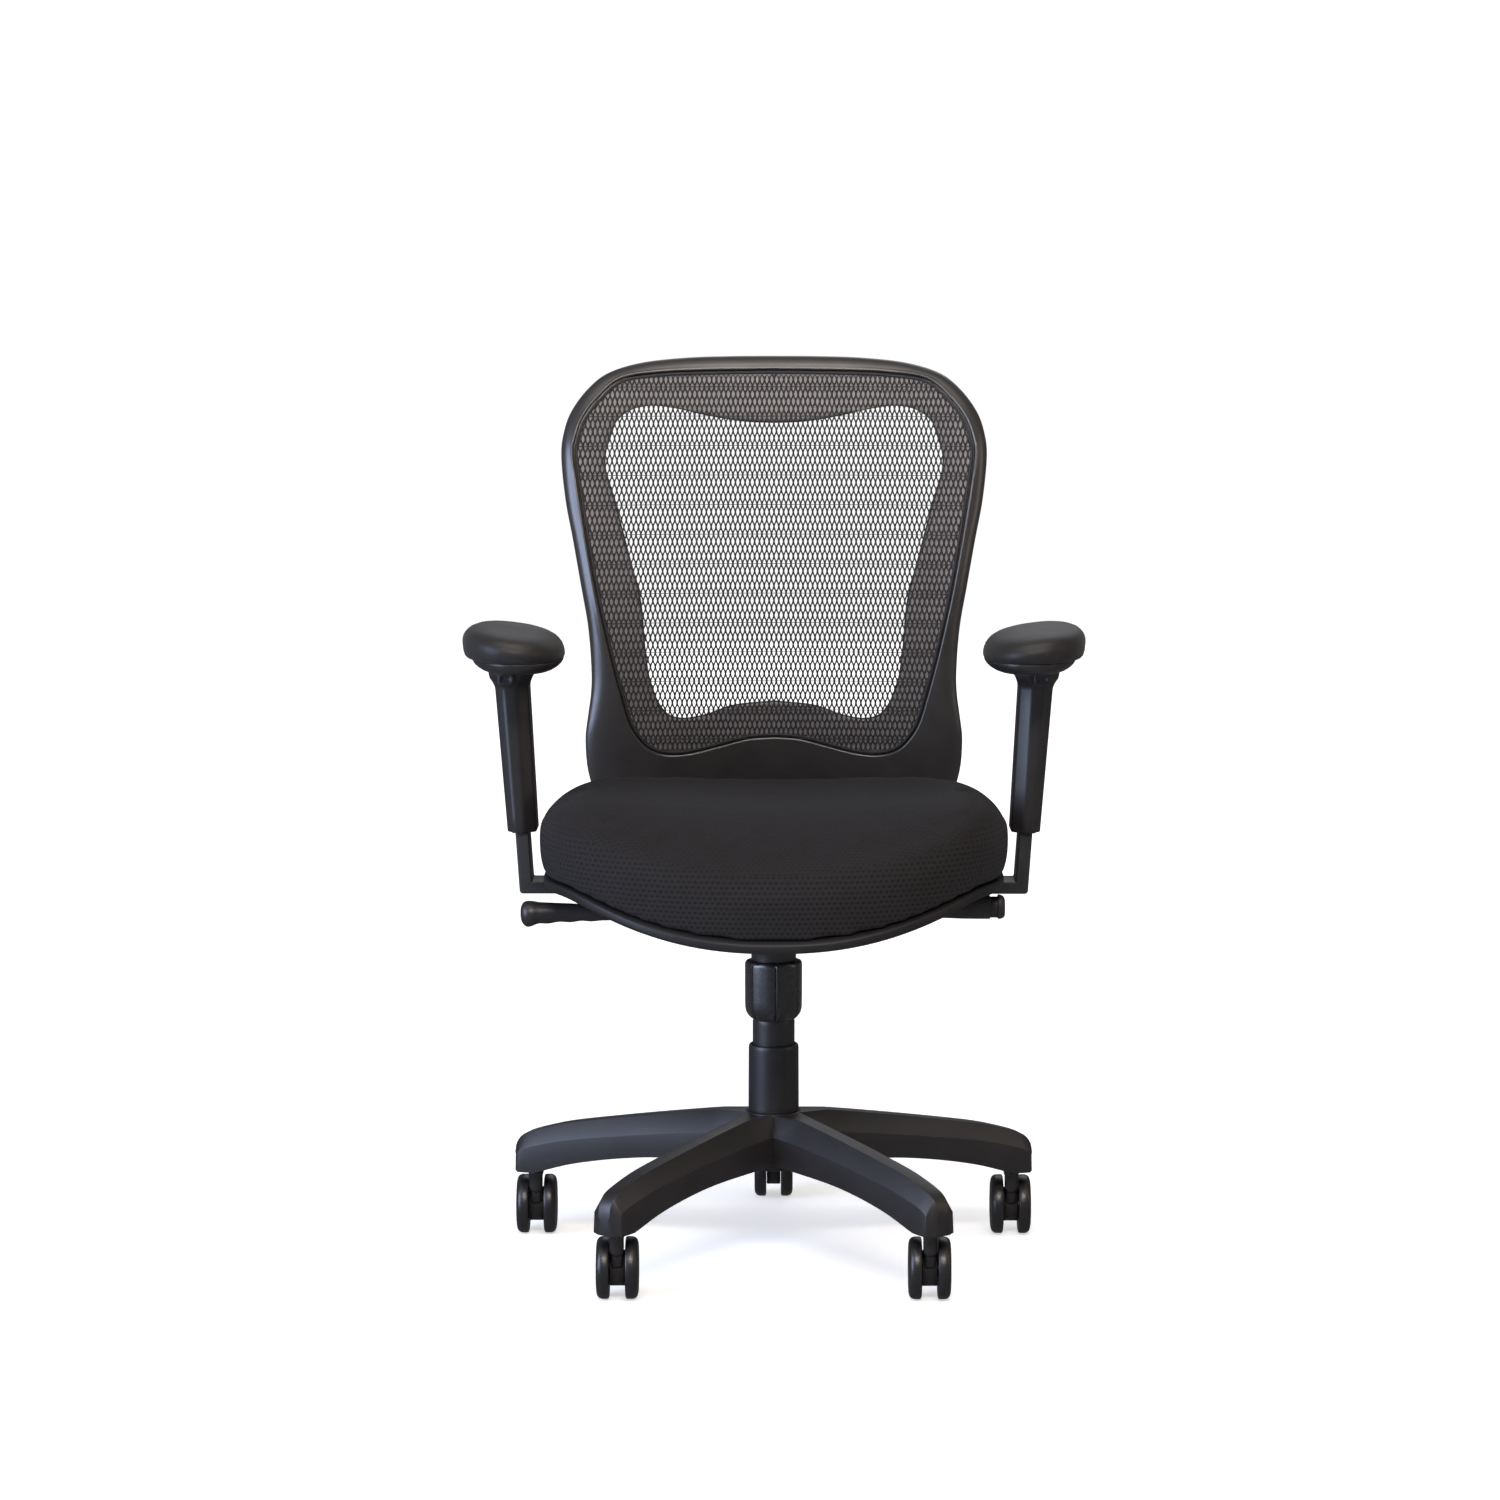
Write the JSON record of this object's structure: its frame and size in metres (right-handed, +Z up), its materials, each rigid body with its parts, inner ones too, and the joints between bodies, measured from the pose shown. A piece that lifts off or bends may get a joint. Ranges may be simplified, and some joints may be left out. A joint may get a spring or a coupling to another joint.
{
  "type": "swivel office chair",
  "caption": "Swivel task chair with a framed knit mesh back, padded seat, height-adjustable arms, tilt mechanism and a five-arm base on twin-wheel casters.",
  "frame": {"origin": "centre of the bounding box in plan, on the floor plane the casters stand on (the swivel axis is 32.5 mm in front of it, at y = -0.0325)", "axes": "+Z up; -Y is the way the sitter faces; +X is to the right in a front view, seen from -Y"},
  "size_m": [0.675, 0.6002, 0.9787],
  "materials": {
    "nylon": "black glass-filled nylon, satin, fine moulded texture",
    "nylon_dark": "black plastic, matt",
    "tyre": "black polyurethane/nylon caster wheel, satin",
    "pu_pad": "integral-skin polyurethane, soft satin with a faint grain",
    "mesh_knit": "warp-knitted elastomeric mesh with lens-shaped openings",
    "seat_fabric": "black spacer-knit seat fabric with rows of small holes",
    "black_steel": "black powder-coated steel, satin",
    "bright_steel": "bright turned steel",
    "spring_steel": "oiled spring wire",
    "bushing": "natural acetal"
  },
  "bodies": {
    "base": {"base_star": "nylon", "gas_outer_tube": "black_steel", "guide_bushing": "bushing", "column_cover_lower": "nylon"},
    "column_turn": {"piston_rod": "bright_steel", "thrust_bearing": "bright_steel"},
    "cover_middle": {"column_cover_middle": "nylon"},
    "mechanism": {"gas_cylinder": "black_steel", "column_cover_upper": "nylon", "tilt_housing": "black_steel", "seat_pivot_pin": "bright_steel", "back_pivot_pin": "bright_steel", "tension_spring": "spring_steel"},
    "valve": {"valve_pin": "bright_steel"},
    "tension_knob": {"tension_knob": "nylon"},
    "tension_nut": {"tension_nut": "bright_steel"},
    "height_lever": {"height_lever_rod": "black_steel", "height_lever_grip": "nylon"},
    "tilt_lever": {"tilt_lever": "nylon"},
    "back": {"back_upright": "nylon", "back_frame": "nylon", "mesh_panel": "mesh_knit"},
    "seat": {"seat_carrier": "black_steel", "seat_pan": "nylon", "seat_cushion": "seat_fabric", "arm_bracket_left": "black_steel", "arm_bracket_right": "black_steel"},
    "arm_left": {"arm_sleeve_left": "nylon", "arm_pad_plate_left": "nylon", "arm_pad_left": "pu_pad"},
    "arm_button_left": {"arm_button_left": "nylon_dark"},
    "arm_right": {"arm_sleeve_right": "nylon", "arm_pad_plate_right": "nylon", "arm_pad_right": "pu_pad"},
    "arm_button_right": {"arm_button_right": "nylon_dark"},
    "caster_1": {"caster_1_stem": "bright_steel", "caster_1_housing": "nylon", "caster_1_axle": "bright_steel"},
    "caster_1_wheel_left": {"caster_1_wheel_left": "tyre"},
    "caster_1_wheel_right": {"caster_1_wheel_right": "tyre"},
    "caster_2": {"caster_2_stem": "bright_steel", "caster_2_housing": "nylon", "caster_2_axle": "bright_steel"},
    "caster_2_wheel_left": {"caster_2_wheel_left": "tyre"},
    "caster_2_wheel_right": {"caster_2_wheel_right": "tyre"},
    "caster_3": {"caster_3_stem": "bright_steel", "caster_3_housing": "nylon", "caster_3_axle": "bright_steel"},
    "caster_3_wheel_left": {"caster_3_wheel_left": "tyre"},
    "caster_3_wheel_right": {"caster_3_wheel_right": "tyre"},
    "caster_4": {"caster_4_stem": "bright_steel", "caster_4_housing": "nylon", "caster_4_axle": "bright_steel"},
    "caster_4_wheel_left": {"caster_4_wheel_left": "tyre"},
    "caster_4_wheel_right": {"caster_4_wheel_right": "tyre"},
    "caster_5": {"caster_5_stem": "bright_steel", "caster_5_housing": "nylon", "caster_5_axle": "bright_steel"},
    "caster_5_wheel_left": {"caster_5_wheel_left": "tyre"},
    "caster_5_wheel_right": {"caster_5_wheel_right": "tyre"}
  },
  "joints": [
    {"name": "seat_swivel", "type": "hinge", "parent": "base", "child": "column_turn", "pos_m": [0, -0.0325, 0.106], "axis": [0, 0, 1], "continuous": true},
    {"name": "seat_lift", "type": "slide", "parent": "column_turn", "child": "mechanism", "axis": [0, 0, 1], "range_m": [-0.06, 0.04]},
    {"name": "cover_lift", "type": "slide", "parent": "base", "child": "cover_middle", "axis": [0, 0, 1], "range_m": [-0.03, 0.02]},
    {"name": "back_recline", "type": "hinge", "parent": "mechanism", "child": "back", "pos_m": [0, 0.0125, 0.376], "axis": [-1, 0, 0], "range_deg": [0, 20], "stiffness_Nm_per_rad": 70, "springref_deg": -20.05},
    {"name": "seat_tilt", "type": "hinge", "parent": "mechanism", "child": "seat", "pos_m": [0, -0.0825, 0.376], "axis": [-1, 0, 0], "range_deg": [0, 8]},
    {"name": "height_lever_lift", "type": "hinge", "parent": "mechanism", "child": "height_lever", "pos_m": [-0.05, -0.0435, 0.3862], "axis": [0, 1, 0], "range_deg": [0, 4], "stiffness_Nm_per_rad": 2, "springref_deg": -11.46},
    {"name": "valve_press", "type": "slide", "parent": "mechanism", "child": "valve", "axis": [0, 0, -1], "range_m": [0, 0.004]},
    {"name": "tilt_lock_pull", "type": "slide", "parent": "mechanism", "child": "tilt_lever", "axis": [1, 0, 0], "range_m": [0, 0.012]},
    {"name": "tension_turn", "type": "hinge", "parent": "mechanism", "child": "tension_knob", "pos_m": [0, -0.12, 0.31], "axis": [0, 0, 1], "range_deg": [0, 1800]},
    {"name": "tension_nut_travel", "type": "slide", "parent": "mechanism", "child": "tension_nut", "axis": [0, 0, -1], "range_m": [0, 0.0076], "deforming": ["tension_spring"]},
    {"name": "arm_height_left", "type": "slide", "parent": "seat", "child": "arm_left", "axis": [-0.068, 0, 0.9977], "range_m": [-0.038, 0.037]},
    {"name": "arm_button_press_left", "type": "slide", "parent": "arm_left", "child": "arm_button_left", "axis": [0, 1, 0], "range_m": [0, 0.0035], "stiffness_N_per_m": 500, "springref_m": -0.003},
    {"name": "arm_height_right", "type": "slide", "parent": "seat", "child": "arm_right", "axis": [0.068, 0, 0.9977], "range_m": [-0.038, 0.037]},
    {"name": "arm_button_press_right", "type": "slide", "parent": "arm_right", "child": "arm_button_right", "axis": [0, 1, 0], "range_m": [0, 0.0035], "stiffness_N_per_m": 500, "springref_m": -0.003},
    {"name": "caster_1_swivel", "type": "hinge", "parent": "base", "child": "caster_1", "pos_m": [0.16458, -0.25902, 0.07], "axis": [0, 0, 1], "continuous": true},
    {"name": "caster_1_roll_left", "type": "hinge", "parent": "caster_1", "child": "caster_1_wheel_left", "pos_m": [0.16458, -0.23902, 0.033], "axis": [1, 0, 0], "continuous": true},
    {"name": "caster_1_roll_right", "type": "hinge", "parent": "caster_1", "child": "caster_1_wheel_right", "pos_m": [0.16458, -0.23902, 0.033], "axis": [1, 0, 0], "continuous": true},
    {"name": "caster_2_swivel", "type": "hinge", "parent": "base", "child": "caster_2", "pos_m": [0.2663, 0.05402, 0.07], "axis": [0, 0, 1], "continuous": true},
    {"name": "caster_2_roll_left", "type": "hinge", "parent": "caster_2", "child": "caster_2_wheel_left", "pos_m": [0.2663, 0.07402, 0.033], "axis": [1, 0, 0], "continuous": true},
    {"name": "caster_2_roll_right", "type": "hinge", "parent": "caster_2", "child": "caster_2_wheel_right", "pos_m": [0.2663, 0.07402, 0.033], "axis": [1, 0, 0], "continuous": true},
    {"name": "caster_3_swivel", "type": "hinge", "parent": "base", "child": "caster_3", "pos_m": [0, 0.2475, 0.07], "axis": [0, 0, 1], "continuous": true},
    {"name": "caster_3_roll_left", "type": "hinge", "parent": "caster_3", "child": "caster_3_wheel_left", "pos_m": [0, 0.2675, 0.033], "axis": [1, 0, 0], "continuous": true},
    {"name": "caster_3_roll_right", "type": "hinge", "parent": "caster_3", "child": "caster_3_wheel_right", "pos_m": [0, 0.2675, 0.033], "axis": [1, 0, 0], "continuous": true},
    {"name": "caster_4_swivel", "type": "hinge", "parent": "base", "child": "caster_4", "pos_m": [-0.2663, 0.05402, 0.07], "axis": [0, 0, 1], "continuous": true},
    {"name": "caster_4_roll_left", "type": "hinge", "parent": "caster_4", "child": "caster_4_wheel_left", "pos_m": [-0.2663, 0.07402, 0.033], "axis": [1, 0, 0], "continuous": true},
    {"name": "caster_4_roll_right", "type": "hinge", "parent": "caster_4", "child": "caster_4_wheel_right", "pos_m": [-0.2663, 0.07402, 0.033], "axis": [1, 0, 0], "continuous": true},
    {"name": "caster_5_swivel", "type": "hinge", "parent": "base", "child": "caster_5", "pos_m": [-0.16458, -0.25902, 0.07], "axis": [0, 0, 1], "continuous": true},
    {"name": "caster_5_roll_left", "type": "hinge", "parent": "caster_5", "child": "caster_5_wheel_left", "pos_m": [-0.16458, -0.23902, 0.033], "axis": [1, 0, 0], "continuous": true},
    {"name": "caster_5_roll_right", "type": "hinge", "parent": "caster_5", "child": "caster_5_wheel_right", "pos_m": [-0.16458, -0.23902, 0.033], "axis": [1, 0, 0], "continuous": true}
  ],
  "couplings": [
    {"joint": "cover_lift", "follows": "seat_lift", "ratio": 0.5},
    {"joint": "seat_tilt", "follows": "back_recline", "ratio": 0.4},
    {"joint": "valve_press", "follows": "height_lever_lift", "m_per_rad": 0.056},
    {"joint": "tension_nut_travel", "follows": "tension_turn", "m_per_rad": 0.00023873}
  ]
}
